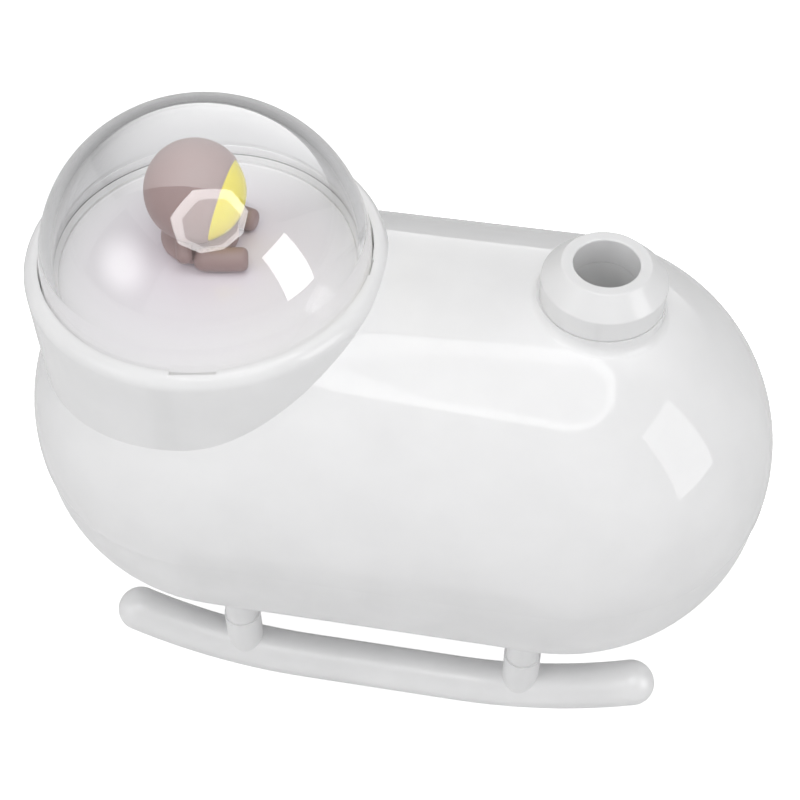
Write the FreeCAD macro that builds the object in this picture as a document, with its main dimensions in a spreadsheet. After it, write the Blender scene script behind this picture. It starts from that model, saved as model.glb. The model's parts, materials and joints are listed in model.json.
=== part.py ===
# Cool mist humidifier: a capsule body on two skids, with a clear display dome and a mist nozzle.
# The origin is on the floor, below the middle of the body. +X points to the nozzle, +Z points up,
# and the controls and the power inlet are at the back, on the +Y side. Lengths are in millimetres.
import FreeCAD
import Part
import math
import os
import Sketcher
from FreeCAD import Placement, Rotation, Vector

os.makedirs("parts", exist_ok=True)
doc = FreeCAD.newDocument("mist_humidifier")

# ---------------------------------------------------------------- driving dimensions
DIMENSIONS = {
    # capsule body, split into an upper shell and a base shell
    "axis_height": 67.1,         # capsule axis above the floor
    "body_radius": 50.0,
    "half_span": 40.0,           # the two end spheres are centred at x = -40 and +40
    "wall": 2.4,
    "parting_drop": 2.2,         # parting plane below the capsule axis
    "base_half_width": 49.3,
    "base_corner": 39.3,         # radius between the base's side and its flat bottom
    "base_depth": 46.0,          # flat bottom below the axis
    # collar, deck and dome at the -X end
    "collar_x": -43.4,
    "collar_radius": 40.9,
    "collar_top": 51.4,          # above the axis, as are the other heights below
    "lip_round": 3.0,
    "recess_radius": 37.5,
    "ledge_top": 46.0,
    "ledge_radius": 35.0,
    "ledge_depth": 2.4,
    "relief_radius": 38.4,
    "deck_rim": 1.4,
    "deck_radius": 37.2,
    "hill_radius": 33.6,
    "hill_rise": 5.6,
    "seal_thick": 0.8,
    "dome_radius": 37.2,
    "dome_wall": 2.9,
    "dome_spring": 49.0,         # height where the dome's skirt turns into its ellipse
    "dome_rise": 34.7,
    # mist nozzle at the +X end
    "nozzle_x": 45.2,
    "boss_radius": 13.9,
    "boss_top": 50.7,
    "nozzle_radius": 13.7,
    "nozzle_shoulder": 56.2,
    "nozzle_top": 60.7,
    "nozzle_flat": 9.6,
    "mist_bore": 7.15,
    "seat_bore": 12.0,
    "skirt_radius": 11.6,
    "tube_radius": 8.5,
    # skids and legs
    "skid_y": 34.0,
    "skid_x": 1.2,
    "skid_drop": 60.9,           # centre line of the rod below the axis
    "rod_radius": 5.7,
    "rod_straight": 20.0,        # half length of the straight middle
    "rod_bend": 95.0,            # radius of the upturned ends
    "rod_turn": 27.6,            # angle of the upturned ends, in degrees
    "leg_spread": 36.1,
    "leg_seam": 43.9,            # joint between stub and socket, below the axis
    "socket_radius": 4.6,
    "stub_radius": 4.15,
    # water tank
    "tank_half_width": 37.0,
    "tank_left": 3.0,
    "tank_centre": 34.0,         # centre of the tank's rounded end
    "tank_bottom": 24.0,         # below the axis
    "tank_top": 26.0,
    "tank_wall": 2.0,
    # blower
    "fan_x": -42.0,
    "volute_radius": 25.5,
    "rotor_radius": 18.0,
}

sheet = doc.addObject("Spreadsheet::Sheet", "sizes")
for row, (alias, value) in enumerate(DIMENSIONS.items(), start=1):
    sheet.set(f"A{row}", alias.replace("_", " "))
    sheet.set(f"B{row}", str(value))
    sheet.setAlias(f"B{row}", alias)
doc.recompute()


class Size:
    """A number together with the expression on the sheet that it comes from."""

    def __init__(self, value, text):
        self.value = float(value)
        self.text = text

    def __add__(self, other):
        other = as_size(other)
        return Size(self.value + other.value, f"({self.text} + {other.text})")

    def __sub__(self, other):
        other = as_size(other)
        return Size(self.value - other.value, f"({self.text} - {other.text})")

    def __mul__(self, factor):
        factor = as_size(factor)
        return Size(self.value * factor.value, f"({self.text} * {factor.text})")

    def __neg__(self):
        return Size(-self.value, f"(0 - {self.text})")

    def __rsub__(self, other):
        return as_size(other) - self

    __radd__ = __add__
    __rmul__ = __mul__


def as_size(number):
    return number if isinstance(number, Size) else Size(number, f"{number:.6f}")


class Named:
    """Gives every driving dimension as a Size, by its alias."""

    def __getattr__(self, alias):
        return Size(DIMENSIONS[alias], f"sizes.{alias}")


size = Named()


def above_axis(offset):
    """Height above the floor of a level given from the capsule axis."""
    return size.axis_height + offset


# ---------------------------------------------------------------- building blocks
def bind(obj, **properties):
    """Bind properties of an object to the sheet; X, Y and Z stand for its position."""
    for name, value in properties.items():
        target = f"Placement.Base.{name.lower()}" if name in ("X", "Y", "Z") else name
        obj.setExpression(target, as_size(value).text)
    return obj


def turned_to(obj, along):
    """Turn a primitive that points along +Z so that it points along another axis."""
    obj.Placement = Placement(Vector(), Rotation(Vector(0, 0, 1), along))
    return obj


def cylinder(name, radius, length, x=0, y=0, z=0, along=None):
    obj = doc.addObject("Part::Cylinder", name)
    if along is not None:
        turned_to(obj, along)
    return bind(obj, Radius=radius, Height=length, X=x, Y=y, Z=z)


def sphere(name, radius, x=0, y=0, z=0):
    return bind(doc.addObject("Part::Sphere", name), Radius=radius, X=x, Y=y, Z=z)


def box(name, x, y, z, across=False):
    """A box from (low, high) pairs; with across, x and y give (centre, width) instead."""
    if across:
        x = (x[0] - x[1] * 0.5, x[0] + x[1] * 0.5)
        y = (y[0] - y[1] * 0.5, y[0] + y[1] * 0.5)
    low, high = zip(*((as_size(a), as_size(b)) for a, b in (x, y, z)))
    obj = doc.addObject("Part::Box", name)
    bind(obj, Length=high[0] - low[0], Width=high[1] - low[1], Height=high[2] - low[2])
    return bind(obj, X=low[0], Y=low[1], Z=low[2])


def fuse(name, *shapes):
    obj = doc.addObject("Part::MultiFuse", name)
    obj.Shapes = list(shapes)
    obj.Refine = True
    return obj


def group(name, *shapes):
    """Several separate solids that share one node."""
    obj = doc.addObject("Part::Compound", name)
    obj.Links = list(shapes)
    return obj


def cut(name, base, *tools):
    obj = doc.addObject("Part::Cut", name)
    obj.Base = base
    obj.Tool = tools[0] if len(tools) == 1 else fuse(f"{name}_tools", *tools)
    obj.Refine = True
    return obj


def common(name, first, second):
    obj = doc.addObject("Part::Common", name)
    obj.Base = first
    obj.Tool = second
    return obj


def tube(name, outer, inner, length, x=0, y=0, z=0):
    wall = cylinder(f"{name}_outer", outer, length, x, y, z)
    return cut(name, wall, cylinder(f"{name}_inner", inner, length, x, y, z))


def new_sketch(body, name, role, height=0):
    """A sketch on one of the body's own origin planes, lifted along the plane's normal."""
    plane = [feature for feature in body.Origin.OriginFeatures if feature.Role == role][0]
    sketch = body.newObject("Sketcher::SketchObject", name)
    sketch.AttachmentSupport = (plane, [""])
    sketch.MapMode = "FlatFace"
    sketch.setExpression("AttachmentOffset.Base.z", as_size(height).text)
    return sketch


def outline(sketch, points):
    """A closed outline of straight lines, each corner bound to the sheet."""
    corners = [(as_size(x), as_size(y)) for x, y in points]
    places = [Vector(x.value, y.value, 0) for x, y in corners]
    count = len(places)
    first = sketch.GeometryCount
    for i in range(count):
        sketch.addGeometry(Part.LineSegment(places[i], places[(i + 1) % count]), False)
    for i in range(count):
        here, after = first + i, first + (i + 1) % count
        sketch.addConstraint(Sketcher.Constraint("Coincident", here, 2, after, 1))
    for i, (x, y) in enumerate(corners):
        for kind, along in (("DistanceX", x), ("DistanceY", y)):
            rule = Sketcher.Constraint(kind, -1, 1, first + i, 1, along.value)
            index = sketch.addConstraint(rule)
            sketch.setExpression(f"Constraints[{index}]", along.text)


def hole_circle(sketch, x, y, radius):
    """A circle bound to the sheet."""
    x, y, radius = as_size(x), as_size(y), as_size(radius)
    index = sketch.addGeometry(Part.Circle(Vector(x.value, y.value, 0), Vector(0, 0, 1),
                                           radius.value), False)
    for kind, value in (("DistanceX", x), ("DistanceY", y)):
        rule = Sketcher.Constraint(kind, -1, 1, index, 3, value.value)
        number = sketch.addConstraint(rule)
        sketch.setExpression(f"Constraints[{number}]", value.text)
    number = sketch.addConstraint(Sketcher.Constraint("Radius", index, radius.value))
    sketch.setExpression(f"Constraints[{number}]", radius.text)


def turned(name, points, x=0, y=0, z=0):
    """A body of revolution about a vertical axis; points are (radius, height)."""
    body = doc.addObject("PartDesign::Body", name)
    sketch = new_sketch(body, f"{name}_section", "XZ_Plane")
    outline(sketch, points)
    turn = body.newObject("PartDesign::Revolution", f"{name}_turn")
    turn.Profile = sketch
    turn.ReferenceAxis = (sketch, ["V_Axis"])
    turn.Angle = 360
    return bind(body, X=x, Y=y, Z=z)


def plate(name, points, z, thick, holes=(), x=0, y=0):
    """A flat body: a closed outline with round holes, padded upwards from height z."""
    body = doc.addObject("PartDesign::Body", name)
    sketch = new_sketch(body, f"{name}_outline", "XY_Plane")
    outline(sketch, points)
    for hole in holes:
        hole_circle(sketch, *hole)
    pad = body.newObject("PartDesign::Pad", f"{name}_pad")
    pad.Profile = sketch
    pad.setExpression("Length", as_size(thick).text)
    return bind(body, X=x, Y=y, Z=z)


def rectangle(x_low, x_high, y_low, y_high):
    return [(x_low, y_low), (x_high, y_low), (x_high, y_high), (x_low, y_high)]


def round_edges(name, base, radius, wanted):
    """Fillet the edges of base for which wanted(edge) is true."""
    doc.recompute()
    chosen = [i for i, edge in enumerate(base.Shape.Edges, start=1) if wanted(edge)]
    obj = doc.addObject("Part::Fillet", name)
    obj.Base = base
    obj.Edges = [(i, radius.value, radius.value) for i in chosen]
    return obj


nodes = []


def keep(obj, name):
    """Name a finished piece; its label becomes the name of its file."""
    obj.Label = name
    nodes.append(obj)
    return obj


axis = size.axis_height
parting = above_axis(-size.parting_drop)
MIRROR = (-1, 1)
FIT = 0.1                        # radial play of a pin or tube in its hole
CLEAR = 0.3                      # gap between a moving piece and its neighbours


# ---------------------------------------------------------------- capsule volumes
def capsule(name, radius):
    """A horizontal cylinder between two spheres, along X."""
    span = size.half_span
    rod = cylinder(f"{name}_rod", radius, span * 2, -span, 0, axis, Vector(1, 0, 0))
    ends = [sphere(f"{name}_end{i}", radius, side * span, 0, axis)
            for i, side in enumerate(MIRROR)]
    return fuse(name, rod, *ends)


def tray(name, inset):
    """The base's volume: a slot in plan, with a large round between side and bottom."""
    half = size.base_half_width - inset
    low = above_axis(inset - size.base_depth)
    rise = parting - low
    span = size.half_span
    ends = [cylinder(f"{name}_end{i}", half, rise, side * span, 0, low)
            for i, side in enumerate(MIRROR)]
    middle = box(f"{name}_middle", (-span, span), (-half, half), (low, parting))
    block = fuse(f"{name}_block", middle, *ends)
    bottom = low.value
    return round_edges(name, block, size.base_corner - inset,
                       lambda edge: abs(edge.BoundBox.ZMax - bottom) < 0.01)


# ---------------------------------------------------------------- upper shell
def upper_shell():
    top = above_axis(size.collar_top)
    span = size.half_span
    # collar and nozzle boss, both reaching down into the capsule's wall
    collar = cylinder("collar", size.collar_radius, top - axis, size.collar_x, 0, axis)
    collar = round_edges("collar_rounded", collar, size.lip_round,
                         lambda edge: edge.BoundBox.ZMin > top.value - 0.01)
    boss_head = above_axis(size.boss_top)
    tall = 12
    boss = cylinder("boss", size.boss_radius, size.boss_top + tall, size.nozzle_x, 0, axis)
    body = fuse("body_solid", capsule("body_outer", size.body_radius), collar, boss)
    nozzle = Vector(size.nozzle_x.value, 0, 0)

    def at_boss_foot(edge):
        room = edge.BoundBox
        middle = Vector(room.Center.x, room.Center.y, 0)
        level = room.ZMin > axis.value + 40 and room.ZMax < boss_head.value + 2
        return level and (middle - nozzle).Length < 16 and room.DiagonalLength > 3

    body = round_edges("body_blended", body, size.wall * 0.9, at_boss_foot)
    # hollow the capsule, but leave the ledge that carries the deck and the nozzle's seat
    hollow = capsule("body_inner", size.body_radius - size.wall)
    ledge_low = above_axis(size.ledge_top - size.ledge_depth)
    ledge = cylinder("ledge_keep", size.recess_radius + 1.5, 20, size.collar_x, 0, ledge_low)
    seat = cylinder("seat_keep", size.seat_bore + 3.0, 20, size.nozzle_x, 0,
                    above_axis(SEAT_LEVEL))
    hollow = cut("hollow", hollow, ledge, seat)
    relief = cylinder("relief", size.relief_radius, size.ledge_top - size.ledge_depth - 14,
                      size.collar_x, 0, above_axis(14))
    lower_half = box("lower_half", (-span * 3, span * 3), (-span * 2, span * 2), (0, parting))
    deck_bore = cylinder("deck_bore", size.ledge_radius, 30, size.collar_x, 0, above_axis(25))
    recess = cylinder("recess", size.recess_radius, 20, size.collar_x, 0,
                      above_axis(size.ledge_top))
    bore = cylinder("seat_bore", size.seat_bore, 30, size.nozzle_x, 0, above_axis(35))
    neck_room = cylinder("neck_room", size.seat_bore + 2.0, 12, size.nozzle_x, 0,
                         above_axis(SEAT_LEVEL - 12))
    above_boss = cylinder("above_boss", size.boss_radius + 8, tall + 2, size.nozzle_x, 0,
                          boss_head)
    notches = []
    for i, (angle, width, reach) in enumerate(RIM_NOTCHES):
        notch = box(f"notch{i}", (size.recess_radius - 2, size.recess_radius + reach),
                    (-width / 2, width / 2), (top - NOTCH_DEPTH, top + 1))
        turn = Rotation(Vector(0, 0, 1), angle)
        start = turn.multVec(Vector(size.recess_radius.value - 2, -width / 2, 0))
        notch.Placement = Placement(Vector(), turn)
        bind(notch, X=size.collar_x + start.x, Y=start.y, Z=top - NOTCH_DEPTH)
        notches.append(notch)
    shell = cut("upper_open", body, hollow, relief, lower_half, deck_bore, recess, bore,
                neck_room, above_boss, *notches)
    # columns for the four shell screws, merged with the shell's wall
    columns = []
    for i, (x, y, high) in enumerate(SHELL_SCREWS):
        column = cylinder(f"upper_column{i}", 3.4, size.parting_drop + high, x, y, parting)
        columns.append(column)
    shell = fuse("upper_with_columns", shell, *columns)
    holes = [cylinder(f"upper_pilot{i}", 1.5, size.parting_drop + 10, x, y, parting)
             for i, (x, y, high) in enumerate(SHELL_SCREWS)]
    return keep(cut("upper", shell, *holes), "upper_shell")


# notches in the rim round the dome, the first for a fingernail: direction in degrees, width, reach
RIM_NOTCHES = ((-79.5, 9.9, 1.0), (-0.7, 5.0, 0.3), (184.0, 5.0, 0.3), (131.5, 3.0, 0.3))
NOTCH_DEPTH = 1.4
# place of each shell screw, and how far its column reaches above the axis
SHELL_SCREWS = ((-79.0, 0.0, 24.0), (79.0, 0.0, 24.0), (-8.0, -36.0, 29.5), (-8.0, 36.0, 29.5))
LEGS = [(side, end) for side in MIRROR for end in MIRROR]
STUB_LENGTH = 12.6


def leg_place(side, end):
    return size.skid_x + end * size.leg_spread, side * size.skid_y


def base_shell():
    solid = tray("tray_outer", size.wall * 0)
    hollow = tray("tray_inner", size.wall)
    open_tray = cut("tray_open", solid, hollow)
    added = []
    holes = []
    posts = []
    seam = above_axis(-size.leg_seam)
    for i, (side, end) in enumerate(LEGS):
        x, y = leg_place(side, end)
        added.append(cylinder(f"stub{i}", size.stub_radius, STUB_LENGTH, x, y, seam))
        holes.append(cylinder(f"stub_hole{i}", 1.6, STUB_LENGTH + 4, x, y, seam - 2))
        holes.append(cylinder(f"stub_counterbore{i}", 3.1, 4, x, y, seam + STUB_LENGTH))
    for i, (x, y, high) in enumerate(SHELL_SCREWS):
        posts.append(cylinder(f"base_column{i}", 3.4, 34, x, y, parting - 34))
        holes.append(cylinder(f"base_hole{i}", 1.6, 40, x, y, parting - 38))
        holes.append(cylinder(f"base_counterbore{i}", 3.0, 40, x, y, parting - 52))
    shell_volume = fuse("tray_with_stubs", open_tray, *added)
    # posts for the boards and the blower stand on the bottom
    floor = above_axis(size.wall - size.base_depth)
    for kind, places, level in (("board", BOARD_POSTS, BOARD_LEVEL), ("fan", FAN_POSTS, FAN_LOW),
                                ("port", PORT_POSTS, PORT_BOARD_LEVEL)):
        for i, (x, y) in enumerate(places):
            top = above_axis(level)
            posts.append(cylinder(f"{kind}_post{i}", 2.4, top - floor + 1, x, y, floor - 1))
            holes.append(cylinder(f"{kind}_pilot{i}", 1.0, 5.5, x, y, top - 5.5))
    for i, (x, y) in enumerate(TANK_POSTS):
        top = above_axis(-size.tank_bottom)
        posts.append(cylinder(f"tank_post{i}", 2.4, top - floor + 1, x, y, floor - 1))
    inside = common("posts_inside", fuse("posts", *posts), tray("tray_probe", size.wall * 0.5))
    shell_volume = fuse("tray_with_posts", shell_volume, inside)
    # air inlet slots below the blower
    for i in range(9):
        holes.append(box(f"inlet{i}", (size.fan_x + (i - 4) * 4.2, 1.8), (0, 19 - abs(i - 4)),
                         (0, axis - 40), across=True))
    # openings in the back wall
    holes.append(cylinder("button_hole", BUTTON_RADIUS + CLEAR, 20, BUTTON_X, 40,
                          above_axis(CONTROL_LEVEL), Vector(0, 1, 0)))
    holes.append(cylinder("lens_hole", 1.6, 20, LENS_X, 40, above_axis(CONTROL_LEVEL),
                          Vector(0, 1, 0)))
    holes.append(box("port_hole", (PORT_X, 9.4), (50, 16), (above_axis(PORT_LEVEL - 1.9),
                                                            above_axis(PORT_LEVEL + 1.9)),
                     across=True))
    return keep(cut("base", shell_volume, *holes), "base_shell")


BOARD_POSTS = ((8.0, -18.0), (8.0, 18.0), (56.0, -18.0), (56.0, 18.0))
TANK_POSTS = ((14.0, -28.0), (14.0, 28.0), (52.0, -25.5), (52.0, 25.5))
FAN_POSTS = ((-62.5, 20.5), (-62.5, -20.5), (-21.5, -20.5))
PORT_POSTS = ((-38.0, 33.0), (-16.0, 33.0))
BUTTON_RADIUS = 5.0
BUTTON_X = -31.0
LENS_X = -39.2
PORT_X = -19.0
CONTROL_LEVEL = -14.0            # heights above the axis: button and lens, power inlet
PORT_LEVEL = -17.2
SEAT_LEVEL = 43.5                # underside of the seat that the nozzle stands on
BOARD_LEVEL = -36.0              # undersides of the driver board and of the port board
PORT_BOARD_LEVEL = -20.0
BOARD_THICK = 1.2
FAN_LOW = -33.0                  # blower housing, from its underside to its cover
FAN_HIGH = -18.0
FAN_WALL = 1.5


# ---------------------------------------------------------------- skids
def arc_end(name, direction):
    """One upturned end of a skid rod: part of a torus whose centre is above the rod."""
    ring = doc.addObject("Part::Torus", name)
    down, along = Vector(0, 0, -1), Vector(direction, 0, 0)
    ring.Placement = Placement(Vector(), Rotation(down, along, down.cross(along), "XYZ"))
    return bind(ring, Radius1=size.rod_bend, Radius2=size.rod_radius, Angle3=size.rod_turn)


def skid(name, side):
    y = side * size.skid_y
    level = above_axis(-size.skid_drop)
    middle = cylinder(f"{name}_rod", size.rod_radius, size.rod_straight * 2,
                      size.skid_x - size.rod_straight, y, level, Vector(1, 0, 0))
    pieces = [middle]
    turn = math.radians(size.rod_turn.value)
    for end in MIRROR:
        start = size.skid_x + end * size.rod_straight
        bend = arc_end(f"{name}_bend{end + 1}", end)
        pieces.append(bind(bend, X=start, Y=y, Z=level + size.rod_bend))
        tip_x = start + size.rod_bend * (end * math.sin(turn))
        tip_z = level + size.rod_bend * (1 - math.cos(turn))
        pieces.append(sphere(f"{name}_tip{end + 1}", size.rod_radius, tip_x, y, tip_z))
        x = size.skid_x + end * size.leg_spread
        seam = above_axis(-size.leg_seam)
        socket = cylinder(f"{name}_socket{end + 1}", size.socket_radius, seam - level, x, y, level)
        pieces.append(socket)
    rod = fuse(f"{name}_rod_and_sockets", *pieces)
    holes = [box(f"{name}_pad_recess", (size.skid_x, 38.4), (y, 5.4),
                 (level - size.rod_radius - 1, level - size.rod_radius + 1.4), across=True)]
    for end in MIRROR:
        x = size.skid_x + end * size.leg_spread
        holes.append(cylinder(f"{name}_pilot{end + 1}", 1.5, 9, x, y,
                              above_axis(-size.leg_seam) - 8.5))
    return keep(cut(name, rod, *holes), f"{name}_skid")


def foot_pad(name, side):
    """A rubber strip let into the underside of a skid, standing a little proud of it."""
    points = rectangle(-19, 19, -2.5, 2.5)
    pad = plate(f"{name}_strip", points, 0, 1.9, x=size.skid_x, y=side * size.skid_y)
    return keep(pad, f"{name}_foot_pad")


def screw(name, x, y, head_top, length, thread=1.45, head=2.8, head_thick=2.0, up=True):
    """A pan-head screw, head on top when up is true and underneath when it is false."""
    sign = 1 if up else -1
    socket = 1.1
    points = [(0, sign * -length), (thread, sign * -length), (thread, sign * -head_thick),
              (head, sign * -head_thick), (head, sign * -0.5), (head - 0.5, 0),
              (socket, 0), (socket * 0.5, sign * -1.0), (0, sign * -1.0)]
    return turned(name, points, x, y, head_top)


def leg_screws():
    stub_top = above_axis(-size.leg_seam) + STUB_LENGTH
    screws = []
    for i, (side, end) in enumerate(LEGS):
        x, y = leg_place(side, end)
        screws.append(screw(f"leg_screw{i}", x, y, stub_top + 2.0, 22))
    return keep(group("leg_screw_set", *screws), "leg_screws")


def shell_screws():
    screws = [screw(f"shell_screw{i}", x, y, parting - 14, 25, up=False)
              for i, (x, y, high) in enumerate(SHELL_SCREWS)]
    return keep(group("shell_screw_set", *screws), "shell_screws")


# ---------------------------------------------------------------- deck and dome
def hill(radius, low, rise, steps=12):
    """Heights of a shallow dome, from its edge to its middle, as (radius, height)."""
    return [(radius * (1 - i / steps), low + rise * (1 - (1 - i / steps) ** 2))
            for i in range(steps + 1)]


def deck():
    low = size.ledge_top
    rim = low + size.deck_rim
    top = hill(size.hill_radius, rim, size.hill_rise)
    under = hill(size.hill_radius - 2, low, size.hill_rise - 0.6)
    points = [(size.deck_radius, low), (size.deck_radius, rim)] + top + under[::-1]
    return keep(turned("deck_disc", points, size.collar_x, 0, axis), "display_deck")


def deck_reflector():
    """A shallow white cup under the deck that spreads the light of the ring of lamps."""
    low = size.ledge_top - 12
    points = [(0, low), (24, low), (size.ledge_radius - 0.6, size.ledge_top - 0.1),
              (size.ledge_radius - 2.2, size.ledge_top - 0.1), (23.4, low + 1.4), (0, low + 1.4)]
    return keep(turned("reflector_cup", points, size.collar_x, 0, axis), "light_reflector")


def light_board():
    board = tube("lamp_disc", 20, 6, 1.2, size.collar_x, 0, above_axis(size.ledge_top - 10.5))
    return keep(board, "light_board")


def light_leds():
    lamps = []
    for i in range(6):
        angle = math.radians(60 * i + 15)
        lamps.append(box(f"lamp{i}", (size.collar_x + 15 * math.cos(angle), 3.5),
                         (15 * math.sin(angle), 3.5),
                         (above_axis(size.ledge_top - 9.3), above_axis(size.ledge_top - 7.9)),
                         across=True))
    return keep(group("lamps", *lamps), "light_leds")


def dome_seal():
    low = size.ledge_top + size.deck_rim
    inside = size.dome_radius - size.dome_wall
    points = [(inside, low), (size.dome_radius, low),
              (size.dome_radius, low + size.seal_thick), (inside, low + size.seal_thick)]
    return keep(turned("dome_gasket", points, size.collar_x, 0, axis), "dome_seal")


def dome_volume(name, radius, rise, low):
    cap = doc.addObject("Part::Ellipsoid", f"{name}_cap")
    cap.Angle1 = 0
    bind(cap, Radius1=rise, Radius2=radius, Radius3=radius)
    bind(cap, X=size.collar_x, Z=above_axis(size.dome_spring))
    skirt = cylinder(f"{name}_skirt", radius, size.dome_spring - low, size.collar_x, 0,
                     above_axis(low))
    return fuse(name, cap, skirt)


def dome():
    low = size.ledge_top + size.deck_rim + size.seal_thick
    outer = dome_volume("dome_outer", size.dome_radius, size.dome_rise, low)
    inner = dome_volume("dome_inner", size.dome_radius - size.dome_wall,
                        size.dome_rise - size.dome_wall, low - 0.5)
    return keep(cut("dome_shell", outer, inner), "clear_dome")


# ---------------------------------------------------------------- seated figure on the deck
FIGURE_X = -1.0                  # from the middle of the deck
HEAD_LEVEL = 68.4
HEAD_RADIUS = 11.4
VISOR_RADIUS = 11.1
VISOR_REACH = 5.6                # the hood's opening, from the middle of the head
GAZE = Vector(0.966, -0.054, -0.254)   # the way the visor faces
SEAT_GAP = 0.15
ARM_RADIUS = 1.75
LEG_RADIUS = 2.6
# start and end of each limb, from the middle of the figure, with heights above the axis
ARMS = (((-2.0, -6.5, 60.5), (-0.4, -10.6, 56.6)), ((-2.0, 6.5, 60.5), (-0.4, 10.6, 56.6)))
LEGS_OUT = (((1.0, -8.4, 55.6), (12.3, -6.9, 55.2)), ((1.0, 7.4, 55.6), (12.3, 6.2, 55.2)))


def hill_height(distance):
    """Height of the deck's top above the axis, at a distance from its middle."""
    edge = DIMENSIONS["ledge_top"] + DIMENSIONS["deck_rim"]
    return edge + DIMENSIONS["hill_rise"] * (1 - (distance / DIMENSIONS["hill_radius"]) ** 2)


def figure_sphere(name, radius, level, x=0.0, y=0.0):
    return sphere(name, radius, size.collar_x + (FIGURE_X + x), y, above_axis(level))


def figure_limb(name, radius, start, end):
    """A straight limb with a blunt, rounded end."""
    start, end = Vector(*start), Vector(*end)
    way = end - start
    rod = cylinder(f"{name}_rod", radius, way.Length, size.collar_x + (FIGURE_X + start.x),
                   start.y, above_axis(start.z), way)
    tip = Vector(size.collar_x.value + FIGURE_X + end.x, end.y, above_axis(end.z).value)
    return round_edges(name, rod, as_size(radius * 0.5),
                       lambda edge: (edge.BoundBox.Center - tip).Length < radius / 2)


def visor_plug(name):
    """Everything in front of the hood's opening."""
    plug = cylinder(name, HEAD_RADIUS + 1, HEAD_RADIUS, along=GAZE)
    start = Vector(GAZE).normalize() * VISOR_REACH
    return bind(plug, X=size.collar_x + (FIGURE_X + start.x), Y=start.y,
                Z=above_axis(HEAD_LEVEL + start.z))


def trunk_body(name, spare):
    """The rounded trunk that the head sits on, with some spare room round it."""
    seat = hill_height(0) + SEAT_GAP
    points = [(0, -spare), (7.2 + spare, -spare), (8.6 + spare, 1.5), (8.6 + spare, 3.4),
              (7.4 + spare, 6.0), (5.6 + spare, 7.6 + spare), (0, 7.6 + spare)]
    return turned(name, points, size.collar_x + FIGURE_X, 0, above_axis(seat))


def head_room(name):
    return figure_sphere(name, HEAD_RADIUS + 0.05, HEAD_LEVEL)


def figure():
    hood = cut("hood_cut", figure_sphere("hood_ball", HEAD_RADIUS, HEAD_LEVEL),
               visor_plug("hood_opening"))
    keep(hood, "figure_hood")
    visor = common("visor_cap", figure_sphere("visor_ball", VISOR_RADIUS, HEAD_LEVEL),
                   visor_plug("visor_front"))
    keep(visor, "figure_visor")
    keep(cut("trunk_cut", trunk_body("trunk", 0), head_room("trunk_head_room")), "figure_body")
    for kind, radius, places in (("arm", ARM_RADIUS, ARMS), ("leg", LEG_RADIUS, LEGS_OUT)):
        limbs = []
        for i, (start, end) in enumerate(places):
            limb = figure_limb(f"{kind}{i}", radius, start, end)
            limbs.append(cut(f"{kind}{i}_cut", limb, trunk_body(f"{kind}{i}_trunk_room", 0.1),
                             head_room(f"{kind}{i}_head_room")))
        keep(group(f"{kind}_pair", *limbs), f"figure_{kind}s")


# ---------------------------------------------------------------- mist nozzle
TUBE_TOP = 53.9
TUBE_LOW = -14.0
SKIRT_LOW = 44.0
NECK_BORE = 12.3
NECK_RADIUS = 13.6
NECK_TOP = 42.0


def soften(body, radius, wanted):
    """Round the edges of a body's last feature for which wanted(edge) is true."""
    doc.recompute()
    last = body.Tip
    chosen = [f"Edge{i}" for i, edge in enumerate(last.Shape.Edges, start=1) if wanted(edge)]
    fillet = body.newObject("PartDesign::Fillet", f"{body.Name}_round{len(body.Group)}")
    fillet.Base = (last, chosen)
    fillet.Radius = radius
    body.Tip = fillet
    return body


def at_circle(radius, level):
    """True for edges that lie on a circle about the body's own axis, at a level."""
    def test(edge):
        bounds = edge.BoundBox
        flat = abs(bounds.ZMin - level) < 0.01 and abs(bounds.ZMax - level) < 0.01
        return flat and abs(bounds.XMax - radius) < 0.01
    return test


def nozzle_cap():
    seam_gap, seam_depth = 0.3, 0.5
    rim = size.boss_top + seam_gap
    socket = size.tube_radius + FIT
    points = [(socket, SKIRT_LOW), (size.skirt_radius, SKIRT_LOW),
              (size.skirt_radius, size.boss_top),
              (size.nozzle_radius - seam_depth, size.boss_top),
              (size.nozzle_radius - seam_depth, rim), (size.nozzle_radius, rim),
              (size.nozzle_radius, size.nozzle_shoulder), (size.nozzle_flat, size.nozzle_top),
              (size.mist_bore, size.nozzle_top), (size.mist_bore, TUBE_TOP + FIT),
              (socket, TUBE_TOP + FIT)]
    cap = turned("cap", points, size.nozzle_x, 0, axis)
    corners = ((size.nozzle_radius, size.nozzle_shoulder, 0.7),
               (size.nozzle_flat, size.nozzle_top, 0.6), (size.mist_bore, size.nozzle_top, 0.4))
    for radius, level, rounding in corners:
        soften(cap, rounding, at_circle(radius.value, level.value))
    return keep(cap, "nozzle_cap")


def mist_tube():
    chimney = tube("chimney", size.tube_radius, size.mist_bore, TUBE_TOP - TUBE_LOW,
                   size.nozzle_x, 0, above_axis(TUBE_LOW))
    # four arches at the foot let the mist in
    arches = [box("arch_x", (size.nozzle_x, 30), (0, 5), (above_axis(TUBE_LOW - 1),
                                                         above_axis(TUBE_LOW + 6)), across=True),
              box("arch_y", (size.nozzle_x, 5), (0, 30), (above_axis(TUBE_LOW - 1),
                                                         above_axis(TUBE_LOW + 6)), across=True)]
    return keep(cut("chimney_cut", chimney, *arches), "mist_tube")


def nozzle_seal():
    points = [(NECK_BORE, NECK_TOP), (NECK_RADIUS, NECK_TOP), (NECK_RADIUS, SEAT_LEVEL),
              (NECK_BORE, SEAT_LEVEL)]
    return keep(turned("neck_washer", points, size.nozzle_x, 0, axis), "neck_seal")


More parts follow.
